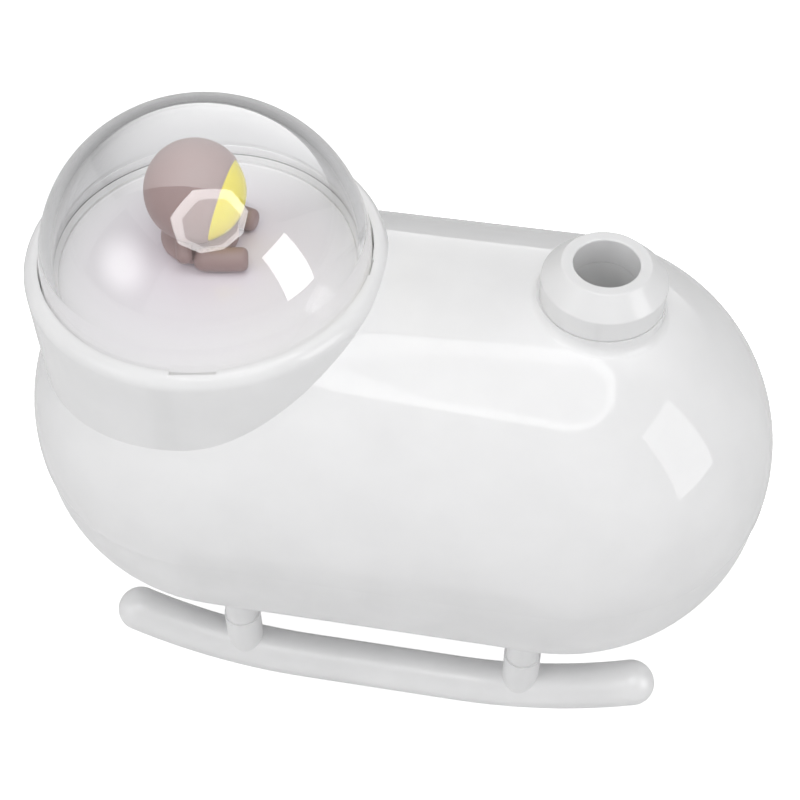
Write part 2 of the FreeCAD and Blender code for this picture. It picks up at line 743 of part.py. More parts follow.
# ---------------------------------------------------------------- water tank
LID_LOW = 27.0
LID_TOP = 29.2
FLOAT_X, FLOAT_Y = 13.0, -18.0
LID_SCREWS = ((7.5, -32.5), (7.5, 32.5), (54.5, -24.5), (54.5, 24.5))
DUCT_HOLE = ((6.0, 15.0), (7.0, 22.0))
BOLT_CIRCLE = 12.6


def tank_volume(name, inset, low, high):
    """A block with one rounded end, which follows the outline of the tank."""
    half = size.tank_half_width - inset
    low, high = above_axis(low), above_axis(high)
    end = cylinder(f"{name}_end", half, high - low)
    end.Angle = 180
    end.Placement = Placement(Vector(), Rotation(Vector(0, 0, 1), -90))
    bind(end, X=size.tank_centre, Z=low)
    block = box(f"{name}_block", (size.tank_left + inset, size.tank_centre), (-half, half),
                (low, high))
    return fuse(name, block, end)


def around(count, radius, start=30.0):
    """Places spread evenly round a circle."""
    for i in range(count):
        angle = math.radians(start + 360.0 * i / count)
        yield i, radius * math.cos(angle), radius * math.sin(angle)


def water_tank():
    low = -size.tank_bottom
    floor = low + size.tank_wall
    outside = tank_volume("tank_outside", size.tank_wall * 0, low, size.tank_top)
    bottom = above_axis(low).value
    outside = round_edges("tank_rounded", outside, size.tank_wall,
                          lambda edge: abs(edge.BoundBox.ZMax - bottom) < 0.01)
    inside = tank_volume("tank_inside", size.tank_wall, floor, size.tank_top + 1)
    vessel = cut("vessel", outside, inside)
    added = [cylinder("float_post", 1.8, 16.0, FLOAT_X, FLOAT_Y, above_axis(floor)),
             cylinder("float_pin", 1.2, 17.5, FLOAT_X, FLOAT_Y, above_axis(floor))]
    holes = [cylinder("mist_disc_hole", 6.2, 10, size.nozzle_x, 0, above_axis(low - 4))]
    for i, x, y in around(3, BOLT_CIRCLE):
        added.append(cylinder(f"disc_boss{i}", 2.3, 3.5, size.nozzle_x + x, y, above_axis(low - 3)))
        holes.append(cylinder(f"disc_pilot{i}", 1.0, 3.7, size.nozzle_x + x, y,
                              above_axis(low - 3)))
    for i, (x, y) in enumerate(LID_SCREWS):
        added.append(cylinder(f"lid_column{i}", 2.6, size.tank_top - floor, x, y,
                              above_axis(floor)))
        holes.append(cylinder(f"lid_pilot{i}", 1.0, 9, x, y, above_axis(size.tank_top - 8)))
    return keep(cut("tank", fuse("vessel_with_posts", vessel, *added), *holes), "water_tank")


def tank_gasket():
    low, high = size.tank_top, size.tank_top + 1
    ring = cut("gasket_ring", tank_volume("gasket_outside", 0.2, low, high),
               tank_volume("gasket_inside", 1.8, low, high))
    return keep(ring, "tank_gasket")


def tank_lid():
    cover = tank_volume("lid_outside", 0, LID_LOW, LID_TOP)
    neck = cylinder("neck", NECK_RADIUS, NECK_TOP - LID_LOW, size.nozzle_x, 0,
                    above_axis(LID_LOW))
    holes = [cylinder("neck_bore", NECK_BORE, 30, size.nozzle_x, 0, above_axis(LID_LOW - 5)),
             box("air_hole", *DUCT_HOLE, (above_axis(20), above_axis(40)))]
    for i, (x, y) in enumerate(LID_SCREWS):
        holes.append(cylinder(f"lid_hole{i}", 1.2, 10, x, y, above_axis(22)))
    return keep(cut("lid", fuse("lid_with_neck", cover, neck), *holes), "tank_lid")


def lid_screws():
    screws = [screw(f"lid_screw{i}", x, y, above_axis(LID_TOP + 1.4), 11, 0.95, 2.0, 1.4)
              for i, (x, y) in enumerate(LID_SCREWS)]
    return keep(group("lid_screw_set", *screws), "lid_screws")


def mist_disc_pieces():
    low = -size.tank_bottom
    points = [(6.2, low - 3), (10, low - 3), (10, low), (6.2, low), (6.2, low - 1),
              (8.1, low - 1), (8.1, low - 2), (6.2, low - 2)]
    keep(turned("disc_seal", points, size.nozzle_x, 0, axis), "mist_disc_seal")
    disc = cylinder("disc", 8.0, 1.0, size.nozzle_x, 0, above_axis(low - 2))
    keep(disc, "mist_disc")
    ring = tube("retainer_ring", 15.4, 6.2, 1.6, size.nozzle_x, 0, above_axis(low - 4.6))
    holes = [cylinder(f"retainer_hole{i}", 1.1, 4, size.nozzle_x + x, y, above_axis(low - 6))
             for i, x, y in around(3, BOLT_CIRCLE)]
    keep(cut("retainer", ring, *holes), "mist_disc_retainer")
    screws = [screw(f"retainer_screw{i}", size.nozzle_x + x, y, above_axis(low - 6.0), 6.2,
                    0.9, 1.9, 1.4, up=False) for i, x, y in around(3, BOLT_CIRCLE)]
    keep(group("retainer_screw_set", *screws), "retainer_screws")


def float_pieces():
    base = -21.5
    ring = [(2.1, base), (2.8, base), (2.8, base + 2), (5.2, base + 2), (5.2, base), (7.0, base),
            (7.0, base + 8), (2.1, base + 8)]
    keep(turned("float_ring", ring, FLOAT_X, FLOAT_Y, axis), "level_float")
    magnet = [(2.9, base + 0.1), (5.1, base + 0.1), (5.1, base + 1.9), (2.9, base + 1.9)]
    keep(turned("magnet_ring", magnet, FLOAT_X, FLOAT_Y, axis), "float_magnet")
    clip = tube("clip_ring", 4.0, 1.25, 1.2, FLOAT_X, FLOAT_Y, above_axis(-6))
    keep(clip, "float_clip")
    reed = cylinder("reed_glass", 1.2, 12, FLOAT_X - 6, FLOAT_Y,
                    above_axis(-size.tank_bottom - 1.3), Vector(1, 0, 0))
    keep(reed, "reed_switch")


# ---------------------------------------------------------------- blower and air duct
def volute(name, inset, low, high, reach):
    """A round chamber with an outlet to the +X side."""
    low, high = above_axis(low), above_axis(high)
    chamber = cylinder(f"{name}_chamber", size.volute_radius - inset, high - low, size.fan_x, 0,
                       low)
    outlet = box(f"{name}_outlet", (size.fan_x, reach), (4 + inset, size.volute_radius - inset),
                 (low, high))
    return fuse(name, chamber, outlet)


DUCT_LEFT, DUCT_RIGHT = -14.0, -1.0


def blower():
    outside = volute("fan_outside", 0, FAN_LOW, FAN_HIGH - FAN_WALL, DUCT_LEFT)
    inside = volute("fan_inside", FAN_WALL, FAN_LOW + FAN_WALL, FAN_HIGH, DUCT_LEFT + 1)
    lugs = [cylinder(f"fan_lug{i}", 4.3, 3, x, y, above_axis(FAN_LOW))
            for i, (x, y) in enumerate(FAN_POSTS)]
    holes = [cylinder(f"fan_lug_hole{i}", 1.2, 8, x, y, above_axis(FAN_LOW - 2))
             for i, (x, y) in enumerate(FAN_POSTS)]
    inlet = cylinder("fan_inlet", 12.0, 6, size.fan_x, 0, above_axis(FAN_LOW - 2))
    case = cut("fan_case", fuse("fan_with_lugs", outside, *lugs), inside, inlet, *holes)
    keep(case, "fan_housing")
    cover = volute("fan_lid", 0, FAN_HIGH - FAN_WALL, FAN_HIGH, DUCT_LEFT)
    keep(cover, "fan_cover")
    screws = [screw(f"fan_screw{i}", x, y, above_axis(FAN_LOW + 4.4), 8.5, 0.9, 1.9, 1.4)
              for i, (x, y) in enumerate(FAN_POSTS)]
    keep(group("fan_screw_set", *screws), "fan_screws")
    motor = tube("motor_can", 7.0, 1.1, 9.0, size.fan_x, 0,
                 above_axis(FAN_HIGH - FAN_WALL - 9.0))
    keep(motor, "fan_motor")


def fan_rotor():
    """Hub cup with its shaft and a middle disc, and sixteen blades in a ring."""
    foot, disc_low = -30.5, -25.8
    points = [(0, foot), (9, foot), (9, disc_low), (size.rotor_radius, disc_low),
              (size.rotor_radius, disc_low + 0.9), (9, disc_low + 0.9), (9, -21), (7.6, -21),
              (7.6, foot + 1.2), (1.0, foot + 1.2), (1.0, -22), (0, -22)]
    rotor = turned("rotor", points, size.fan_x, 0, axis)
    doc.recompute()
    sketch = new_sketch(rotor, "blade_section", "XY_Plane", foot)
    outline(sketch, rectangle(size.rotor_radius - 6, size.rotor_radius - 0.5, -0.45, 0.45))
    blade = rotor.newObject("PartDesign::Pad", "blade")
    blade.Profile = sketch
    blade.Length = 9
    doc.recompute()
    ring = rotor.newObject("PartDesign::PolarPattern", "blade_ring")
    ring.Originals = [blade]
    ring.Axis = ([f for f in rotor.Origin.OriginFeatures if f.Role == "Z_Axis"][0], [""])
    ring.Angle = 360
    ring.Occurrences = 16
    rotor.Tip = ring
    return keep(rotor, "fan_rotor")


def air_duct():
    """A box channel from the blower's outlet up and over to the hole in the tank's lid."""
    y = (4, size.volute_radius)
    y_in = (4 + FAN_WALL, size.volute_radius - FAN_WALL)
    top = 35.5
    riser = box("riser", (DUCT_LEFT, DUCT_RIGHT), y, (above_axis(FAN_LOW), above_axis(top)))
    elbow = box("elbow", (DUCT_LEFT, 17), y, (above_axis(LID_TOP), above_axis(top)))
    hollows = [box("riser_in", (DUCT_LEFT + FAN_WALL, DUCT_RIGHT - FAN_WALL), y_in,
                   (above_axis(FAN_LOW + FAN_WALL), above_axis(top - FAN_WALL))),
               box("elbow_in", (DUCT_LEFT + FAN_WALL, 17 - FAN_WALL), y_in,
                   (above_axis(LID_TOP + FAN_WALL), above_axis(top - FAN_WALL))),
               box("duct_mouth", (DUCT_LEFT - 1, DUCT_LEFT + 2), y_in,
                   (above_axis(FAN_LOW + FAN_WALL), above_axis(FAN_HIGH - FAN_WALL))),
               box("duct_drop", *DUCT_HOLE, (above_axis(LID_TOP - 1), above_axis(LID_TOP + 2)))]
    return keep(cut("duct", fuse("duct_outside", riser, elbow), *hollows), "air_duct")


# ---------------------------------------------------------------- electronics and controls
def driver_board():
    holes = [(x, y, 1.2) for x, y in BOARD_POSTS]
    board = plate("driver_plate", rectangle(4, 60, -22, 22), above_axis(BOARD_LEVEL), BOARD_THICK,
                  holes)
    keep(board, "driver_board")
    top = above_axis(BOARD_LEVEL + BOARD_THICK)
    screws = [screw(f"board_screw{i}", x, y, top + 1.4, 6, 0.9, 1.9, 1.4)
              for i, (x, y) in enumerate(BOARD_POSTS)]
    keep(group("board_screw_set", *screws), "board_screws")
    coil = tube("coil", 4.2, 1.2, 4.5, 24, 8, top)
    can = cylinder("can", 2.5, 4.6, 16, 6, top)
    chips = [box(f"chip{i}", (x, length), (y, width), (top, top + high), across=True)
             for i, (x, y, length, width, high) in enumerate(
                 ((30, -8, 7, 7, 1.2), (44, -12, 5, 4, 1.4), (14, -8, 6, 4, 1.6),
                  (20, 18, 10, 4, 4.5), (48, 14, 8, 4, 4.5)))]
    keep(group("board_parts", coil, can, *chips), "board_components")
    fins = [box(f"fin{i}", (34 + i * 2.0, 0.8), (6, 10), (top + 1, top + 4.8), across=True)
            for i in range(6)]
    foot = box("fin_foot", (39, 12), (6, 10), (top, top + 1.2), across=True)
    keep(fuse("fins", foot, *fins), "heat_sink")


def control_pieces():
    low = above_axis(PORT_BOARD_LEVEL)
    holes = [(x, y, 1.2) for x, y in PORT_POSTS]
    board = plate("port_plate", rectangle(-41, -13, 29, 41.5), low, BOARD_THICK, holes)
    keep(board, "port_board")
    top = low + BOARD_THICK
    screws = [screw(f"port_screw{i}", x, y, top + 1.4, 6, 0.9, 1.9, 1.4)
              for i, (x, y) in enumerate(PORT_POSTS)]
    keep(group("port_screw_set", *screws), "port_screws")
    # power inlet: a metal shell with a tongue
    shell = box("inlet_shell", (PORT_X, 9.0), (43.8, 7.6), (top, top + 3.2), across=True)
    mouth = box("inlet_mouth", (PORT_X, 8.4), (44.4, 7.6), (top + 0.3, top + 2.9), across=True)
    tongue = box("inlet_tongue", (PORT_X, 6.7), (43.2, 6.0), (top + 1.25, top + 1.95), across=True)
    keep(fuse("inlet", cut("inlet_open", shell, mouth), tongue), "power_inlet")
    # push button: cap, flange and stem in one piece, with the switch's plunger behind it
    level = CONTROL_LEVEL
    back = Vector(0, 1, 0)
    cap = cylinder("button_cap", BUTTON_RADIUS, 6.6, BUTTON_X, 43.4, above_axis(level), back)
    flange = cylinder("button_flange", 6.0, 1.0, BUTTON_X, 42.6, above_axis(level), back)
    stem = cylinder("button_stem", 2.4, 2.3, BUTTON_X, 40.4, above_axis(level), back)
    solid = fuse("button_solid", cap, flange, stem)
    face = 50.0 - 0.01
    keep(round_edges("button_round", solid, as_size(0.6),
                     lambda edge: edge.BoundBox.YMin > face), "power_button")
    plunger = cylinder("plunger", 1.7, 2.9, BUTTON_X, 37.5, above_axis(level), back)
    keep(plunger, "switch_plunger")
    case = box("switch_case", (BUTTON_X, 6.0), (37.2, 3.6), (top, above_axis(level + 3)),
               across=True)
    hole = cylinder("switch_hole", 1.85, 3.0, BUTTON_X, 36.4, above_axis(level), back)
    keep(cut("switch", case, hole), "tact_switch")
    lens = cylinder("lens_rod", 1.5, 4.8, LENS_X, 43.7, above_axis(level), back)
    keep(lens, "indicator_lens")
    lamp = box("indicator_body", (LENS_X, 2.6), (40.2, 2.4), (top, above_axis(level + 1.5)),
               across=True)
    keep(lamp, "indicator_led")


# ---------------------------------------------------------------- build everything
upper_shell()
base_shell()
for skid_name, skid_side in (("front", -1), ("rear", 1)):
    skid(skid_name, skid_side)
    foot_pad(skid_name, skid_side)
leg_screws()
shell_screws()
deck()
deck_reflector()
light_board()
light_leds()
dome_seal()
dome()
figure()
nozzle_cap()
mist_tube()
nozzle_seal()
water_tank()
tank_gasket()
tank_lid()
lid_screws()
mist_disc_pieces()
float_pieces()
blower()
fan_rotor()
air_duct()
driver_board()
control_pieces()
doc.recompute()

# ---------------------------------------------------------------- check, then write
for obj in doc.Objects:
    if "Invalid" in obj.State or "Error" in obj.State:
        raise RuntimeError(f"{obj.Label} failed to build")
for node in nodes:
    shape = node.Shape
    if shape.isNull() or not shape.isValid() or not shape.Solids:
        raise RuntimeError(f"{node.Label} has no valid solid")
for node in nodes:
    node.Shape.exportStep(f"parts/{node.Label}.step")
    print(f"{node.Label:24s} {len(node.Shape.Solids):3d} {node.Shape.Volume / 1000:9.3f} cm3")
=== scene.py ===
# Looks of the cool mist humidifier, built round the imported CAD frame. Lengths are in metres.
import json
import math

import bmesh
import bpy
from mathutils import Matrix, Vector


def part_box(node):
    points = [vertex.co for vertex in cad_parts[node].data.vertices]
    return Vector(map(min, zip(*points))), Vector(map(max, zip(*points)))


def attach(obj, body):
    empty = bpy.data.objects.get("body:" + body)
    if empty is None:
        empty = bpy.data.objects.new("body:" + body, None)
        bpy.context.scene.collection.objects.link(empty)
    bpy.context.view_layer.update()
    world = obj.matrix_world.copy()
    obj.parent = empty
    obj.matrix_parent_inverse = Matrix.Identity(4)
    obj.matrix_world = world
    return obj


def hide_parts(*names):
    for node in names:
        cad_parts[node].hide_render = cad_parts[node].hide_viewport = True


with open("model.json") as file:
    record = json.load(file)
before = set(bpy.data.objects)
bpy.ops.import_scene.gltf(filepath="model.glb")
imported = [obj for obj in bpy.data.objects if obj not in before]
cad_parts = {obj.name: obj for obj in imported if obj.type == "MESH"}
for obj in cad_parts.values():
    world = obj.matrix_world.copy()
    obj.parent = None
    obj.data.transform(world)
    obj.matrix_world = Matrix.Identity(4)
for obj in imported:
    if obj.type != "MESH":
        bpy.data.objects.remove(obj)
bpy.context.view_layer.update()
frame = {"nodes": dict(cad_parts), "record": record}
MM = 0.001


# ---------------------------------------------------------------- helpers
def direction(azimuth, elevation):
    """Azimuth 0 is towards the viewer (-Y) and 90 towards +X; both in degrees."""
    a, e = math.radians(azimuth), math.radians(elevation)
    return Vector((math.sin(a) * math.cos(e), -math.cos(a) * math.cos(e), math.sin(e)))


def new_object(name, data):
    """Put a mesh or a camera into the scene."""
    obj = bpy.data.objects.new(name, data)
    bpy.context.scene.collection.objects.link(obj)
    return obj


def mesh_of(name, points, faces, smooth=True):
    """A new object made of points and faces."""
    mesh = bpy.data.meshes.new(name)
    mesh.from_pydata([tuple(p) for p in points], [], faces)
    mesh.validate()
    for polygon in mesh.polygons:
        polygon.use_smooth = smooth
    return new_object(name, mesh)


def object_place(tree):
    """A node that gives the place of a point in its object's own frame."""
    return tree.nodes.new("ShaderNodeTexCoord").outputs["Object"]


def vector_math(tree, operation, source, other=None):
    """One operation on a vector; all but a subtraction give a number."""
    node = tree.nodes.new("ShaderNodeVectorMath")
    node.operation = operation
    tree.links.new(source, node.inputs[0])
    if other is not None:
        node.inputs[1].default_value = other
    return node.outputs["Vector" if operation == "SUBTRACT" else "Value"]


def map_range(tree, source, start, end, low, high, smooth=True):
    """A value that goes from low to high while the source goes from start to end."""
    node = tree.nodes.new("ShaderNodeMapRange")
    node.interpolation_type = "SMOOTHSTEP" if smooth else "LINEAR"
    node.inputs["From Min"].default_value = start
    node.inputs["From Max"].default_value = end
    node.inputs["To Min"].default_value = low
    node.inputs["To Max"].default_value = high
    tree.links.new(source, node.inputs["Value"])
    return node.outputs["Result"]


# ---------------------------------------------------------------- camera
CAMERA_AZIMUTH = 10.41       # these three are in degrees
CAMERA_ELEVATION = 49.42
CAMERA_ROLL = -0.465
CAMERA_PLACE = Vector((43.55, -235.14, 353.31)) * MM
CAMERA_SENSOR = 36.0         # these two are in millimetres, as the camera's settings are
CAMERA_LENS = 68.24


def add_camera():
    """Looks steeply down from the front, a little from the right, and is slightly rolled."""
    azimuth, roll = math.radians(CAMERA_AZIMUTH), math.radians(CAMERA_ROLL)
    back = direction(CAMERA_AZIMUTH, CAMERA_ELEVATION)
    level = Vector((math.cos(azimuth), math.sin(azimuth), 0.0))
    up = back.cross(level)
    right = level * math.cos(roll) + up * math.sin(roll)
    top = up * math.cos(roll) - level * math.sin(roll)
    data = bpy.data.cameras.new("camera")
    data.sensor_width = CAMERA_SENSOR
    data.lens = CAMERA_LENS
    data.clip_start, data.clip_end = 0.01, 20.0
    camera = new_object("camera", data)
    turn = Matrix((right, top, back)).transposed().to_4x4()
    camera.matrix_world = Matrix.Translation(CAMERA_PLACE) @ turn
    bpy.context.scene.camera = camera


add_camera()


# ---------------------------------------------------------------- floor, backdrop and lights
def emitter(name, outline, strength, soft_from=None, soft_along=None):
    """A flat polygon that shines, unseen by the camera and by rays through glass.

    With soft_from its light fades from that share of its reach to nothing at the edge;
    with soft_along the reach is measured along that direction only.
    """
    obj = mesh_of(name, outline, [tuple(range(len(outline)))], smooth=False)
    material = bpy.data.materials.new(name)
    material.use_nodes = True
    tree = material.node_tree
    tree.nodes.clear()
    shine = tree.nodes.new("ShaderNodeEmission")
    shine.inputs["Strength"].default_value = strength
    out = tree.nodes.new("ShaderNodeOutputMaterial")
    tree.links.new(shine.outputs["Emission"], out.inputs["Surface"])
    if soft_from is not None:
        fade_out(tree, shine, outline, strength, soft_from, soft_along)
    obj.data.materials.append(material)
    obj.visible_camera = False
    obj.visible_transmission = False
    return obj


def fade_out(tree, shine, outline, strength, soft_from, soft_along):
    """Make an emission fade away from the middle of its polygon."""
    centre = sum(outline, Vector()) / len(outline)
    away = vector_math(tree, "SUBTRACT", object_place(tree), centre)
    if soft_along is None:
        edge = ((outline[0] + outline[1]) / 2 - centre).length
        distance = vector_math(tree, "LENGTH", away)
    else:
        edge = max(abs((point - centre).dot(soft_along)) for point in outline)
        size = tree.nodes.new("ShaderNodeMath")
        size.operation = "ABSOLUTE"
        tree.links.new(vector_math(tree, "DOT_PRODUCT", away, soft_along), size.inputs[0])
        distance = size.outputs["Value"]
    fade = map_range(tree, distance, edge * soft_from, edge, strength, 0.0)
    tree.links.new(fade, shine.inputs["Strength"])


LIT_POINT = Vector((0.0, 0.0, 0.08))     # the softboxes stand round this point, inside the body
CORE_SHARE = 0.74                        # size of a softbox's core, as a share of the whole
CORE_AHEAD = 0.004                       # how far the core stands in front of it


def softbox(name, azimuth, elevation, distance, width, height, light, gleam, sides=4,
            facing=None, spin=0.0, core=None, soft_from=None, soft_along=None):
    """A rectangular or many-sided softbox that faces the object, or a direction of its own.

    Azimuth, elevation and distance say where it stands; facing is an azimuth and an elevation.
    Light is what it casts on matt surfaces, and gleam how bright its reflection is; core is the
    gleam of its middle. Spin turns it in its own plane, in degrees. Soft_from and soft_along
    fade the reflection as emitter() says; the light it casts stays even.
    """
    centre = LIT_POINT + direction(azimuth, elevation) * distance
    normal = direction(*(facing or (azimuth, elevation)))
    across = Vector((0.0, 0.0, 1.0)).cross(normal).normalized()
    upward = normal.cross(across)
    corner_reach = 1.0 / math.cos(math.pi / sides)
    outline = []
    for i in range(sides):
        angle = 2 * math.pi * (i + 0.5) / sides + math.radians(spin)
        outline.append(centre + across * (math.cos(angle) * corner_reach * width / 2)
                       + upward * (math.sin(angle) * corner_reach * height / 2))
    emitter(f"{name}_light", outline, light).visible_glossy = False
    emitter(f"{name}_gleam", outline, gleam, soft_from, soft_along).visible_diffuse = False
    if core is not None:
        ahead = (LIT_POINT - centre).normalized() * CORE_AHEAD
        inner = [centre + (point - centre) * CORE_SHARE + ahead for point in outline]
        emitter(f"{name}_core", inner, core).visible_diffuse = False


FLOOR_HALF = 15.0
PAPER_GREY = 0.80
WHITE_REACH = 0.45           # the paper's glow is full up to here from the origin
GREY_REACH = 0.90            # and gone from here on
GLOW = 0.12                  # the glow for every ray
CAMERA_GLOW = 0.62           # what rays from the camera see on top of it


def add_floor():
    """Pale paper, burnt out to white round the object, that falls off into grey further away."""
    half = FLOOR_HALF
    corners = [(-half, -half, 0), (half, -half, 0), (half, half, 0), (-half, half, 0)]
    floor = mesh_of("floor", corners, [(0, 1, 2, 3)], smooth=False)
    material = bpy.data.materials.new("floor_paper")
    material.use_nodes = True
    tree = material.node_tree
    shader = tree.nodes["Principled BSDF"]
    shader.inputs["Base Color"].default_value = (PAPER_GREY, PAPER_GREY, PAPER_GREY, 1.0)
    shader.inputs["Roughness"].default_value = 1.0
    shader.inputs["Specular IOR Level"].default_value = 0.0
    shader.inputs["Emission Color"].default_value = (1.0, 1.0, 1.0, 1.0)
    burn = tree.nodes.new("ShaderNodeMath")
    burn.operation = "MULTIPLY_ADD"
    burn.inputs[1].default_value = CAMERA_GLOW
    burn.inputs[2].default_value = GLOW
    tree.links.new(tree.nodes.new("ShaderNodeLightPath").outputs["Is Camera Ray"], burn.inputs[0])
    share = map_range(tree, vector_math(tree, "LENGTH", object_place(tree)),
                      WHITE_REACH, GREY_REACH, 1.0, 0.0)
    total = tree.nodes.new("ShaderNodeMath")
    total.operation = "MULTIPLY"
    tree.links.new(share, total.inputs[0])
    tree.links.new(burn.outputs["Value"], total.inputs[1])
    tree.links.new(total.outputs["Value"], shader.inputs["Emission Strength"])
    floor.data.materials.append(material)


def add_lights():
    """Five softboxes: above, right, behind, left and in front."""
    softbox("octagon_softbox", 27, 71, 0.70, 0.55, 0.55, light=2.7, gleam=12.0, sides=8,
            facing=(66, 101), spin=-3.4, core=6.0)
    softbox("side_softbox", 76, 20, 0.85, 0.36, 0.58, light=2.0, gleam=9.5)
    softbox("back_scrim", 182, 45, 1.30, 4.0, 2.14, light=0.42, gleam=4.2,
            soft_from=0.1, soft_along=Vector((1.0, 0.0, 0.0)))
    softbox("left_softbox", -49, 28, 1.1, 0.95, 0.95, light=1.5, gleam=5.5, soft_from=0.05)
    softbox("front_fill", -15, 18, 1.6, 1.7, 1.0, light=0.7, gleam=0.5)


ROOM_GREYS = (0.38, 0.62)    # the room's darkest and lightest grey
ROOM_HEIGHTS = (-0.1, 0.7)   # upward part of the viewing direction where each is reached


def add_world():
    """A dim even room that gets lighter upwards."""
    world = bpy.data.worlds.new("studio")
    world.use_nodes = True
    tree = world.node_tree
    background = tree.nodes["Background"]
    background.inputs["Strength"].default_value = 1.0
    split = tree.nodes.new("ShaderNodeSeparateXYZ")
    tree.links.new(tree.nodes.new("ShaderNodeTexCoord").outputs["Generated"],
                   split.inputs["Vector"])
    sky = map_range(tree, split.outputs["Z"], *ROOM_HEIGHTS, *ROOM_GREYS)
    tree.links.new(sky, background.inputs["Color"])
    bpy.context.scene.world = world


add_floor()
add_lights()
add_world()
bpy.context.scene.view_settings.view_transform = "Standard"


# ---------------------------------------------------------------- materials
MATERIALS = {}
MOTTLE_SCALE = 60.0          # of the colour; these three are in noise cells per metre
SMEAR_SCALE = 160.0          # of the roughness
WAVE_SCALE = 20.0            # of the slow waviness
NOISE_SPAN = (0.3, 0.7)      # nearly all of a noise's values lie in here


class Surface:
    """A procedural material, kept in MATERIALS: a principled shader with detail added to it."""

    def __init__(self, name, colour, roughness, **inputs):
        material = bpy.data.materials.new(name)
        material.use_nodes = True
        self.tree = material.node_tree
        self.links = self.tree.links
        self.shader = self.tree.nodes["Principled BSDF"]
        self.shader.inputs["Base Color"].default_value = (*colour, 1.0)
        self.shader.inputs["Roughness"].default_value = roughness
        for key, value in inputs.items():
            self.shader.inputs[key.replace("_", " ")].default_value = value
        self.place = object_place(self.tree)
        MATERIALS[name] = material

    def noise(self, scale, detail):
        """Even noise, as a grey value; a greater scale is finer."""
        node = self.tree.nodes.new("ShaderNodeTexNoise")
        node.inputs["Scale"].default_value = scale
        node.inputs["Detail"].default_value = detail
        node.inputs["Roughness"].default_value = 0.5
        self.links.new(self.place, node.inputs["Vector"])
        return node.outputs["Fac"]

    def colour_from(self, source, low, high, first, last):
        """Base colour that goes from low to high while the source goes from first to last."""
        node = self.tree.nodes.new("ShaderNodeValToRGB")
        node.color_ramp.elements[0].position = first
        node.color_ramp.elements[1].position = last
        node.color_ramp.elements[0].color = (*low, 1.0)
        node.color_ramp.elements[1].color = (*high, 1.0)
        self.links.new(source, node.inputs["Fac"])
        self.links.new(node.outputs["Color"], self.shader.inputs["Base Color"])

    def vary_roughness(self, low, high, scale):
        """Roughness that wanders between two values."""
        rough = map_range(self.tree, self.noise(scale, 4.0), *NOISE_SPAN, low, high, smooth=False)
        self.links.new(rough, self.shader.inputs["Roughness"])

    def bump(self, scale, height, detail=3.0):
        """Fine relief on top of any that is there already; height is in metres."""
        node = self.tree.nodes.new("ShaderNodeBump")
        node.inputs["Strength"].default_value = 1.0
        node.inputs["Distance"].default_value = height
        self.links.new(self.noise(scale, detail), node.inputs["Height"])
        for link in self.shader.inputs["Normal"].links:
            self.links.new(link.from_socket, node.inputs["Normal"])
        self.links.new(node.outputs["Normal"], self.shader.inputs["Normal"])


def textured(name, low, high, rough, grain_scale, grain_height, wave=None, **inputs):
    """Mottled colour, wandering roughness and fine grain; wave is a slow relief's height."""
    surface = Surface(name, high, rough[0], **inputs)
    surface.colour_from(surface.noise(MOTTLE_SCALE, 3.0), low, high, 0.35, 0.65)
    surface.vary_roughness(*rough, SMEAR_SCALE)
    surface.bump(grain_scale, grain_height)
    if wave:
        surface.bump(WAVE_SCALE, wave, detail=0.0)


def clear_plastic():
    """Polished clear plastic, slightly smoky, with the faintest ripple."""
    surface = Surface("clear_plastic", (0.985, 0.985, 0.99), 0.0, Transmission_Weight=1.0, IOR=1.5)
    surface.bump(45.0, 0.00002)
    surface.vary_roughness(0.0, 0.015, 120.0)
    smoke = surface.tree.nodes.new("ShaderNodeVolumeAbsorption")
    smoke.inputs["Color"].default_value = (0.55, 0.55, 0.57, 1.0)
    smoke.inputs["Density"].default_value = 50.0
    output = surface.tree.nodes["Material Output"]
    surface.links.new(smoke.outputs["Volume"], output.inputs["Volume"])


def deck_plastic():
    """Glossy white with a painted lilac cast of light in the middle that fades towards the rim."""
    surface = Surface("deck_white", (0.95, 0.94, 0.95), 0.09, Specular_IOR_Level=0.8)
    low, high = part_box("display_deck")
    middle = ((low.x + high.x) / 2, (low.y + high.y) / 2, high.z)
    reach = vector_math(surface.tree, "DISTANCE", surface.place, middle)
    painted_cast_reach = 6.0 * MM                      # the painted light cast is full up to here from the middle
    white_reach = (high.x - low.x) * 0.46       # and gone from here on
    share = map_range(surface.tree, reach, painted_cast_reach, white_reach, 0.0, 1.0, smooth=False)
    # painted light: the lilac cast round the middle is light on the deck, painted into its base
    # colour
    surface.colour_from(share, (0.92, 0.855, 0.925), (0.955, 0.95, 0.955), 0.0, 1.0)
    surface.vary_roughness(0.07, 0.11, SMEAR_SCALE)
    surface.bump(40.0, 0.00001)


textured("white_gloss", (0.83, 0.83, 0.835), (0.86, 0.86, 0.865), (0.035, 0.065), 900.0, 0.000002,
         wave=0.00012, Specular_IOR_Level=0.11)
textured("white_satin", (0.80, 0.80, 0.805), (0.84, 0.84, 0.845), (0.30, 0.42), 2600.0, 0.00002)
textured("nozzle_white", (0.80, 0.80, 0.805), (0.83, 0.83, 0.835), (0.16, 0.22), 900.0, 0.000004,
         Specular_IOR_Level=0.14)
textured("inner_white", (0.84, 0.84, 0.84), (0.87, 0.87, 0.87), (0.35, 0.5), 1800.0, 0.00002)
textured("toy_taupe", (0.36, 0.245, 0.235), (0.41, 0.285, 0.275), (0.35, 0.5), 1500.0, 0.00002)
textured("toy_yellow", (0.93, 0.79, 0.02), (0.96, 0.84, 0.03), (0.2, 0.3), 1200.0, 0.00001)
textured("natural_rubber", (0.74, 0.74, 0.74), (0.80, 0.80, 0.80), (0.5, 0.65), 1500.0, 0.00002)
textured("grey_rubber", (0.10, 0.10, 0.105), (0.14, 0.14, 0.145), (0.6, 0.8), 1500.0, 0.00004)
textured("tank_plastic", (0.72, 0.77, 0.80), (0.78, 0.82, 0.85), (0.25, 0.4), 1200.0, 0.00002,
         Transmission_Weight=0.5)
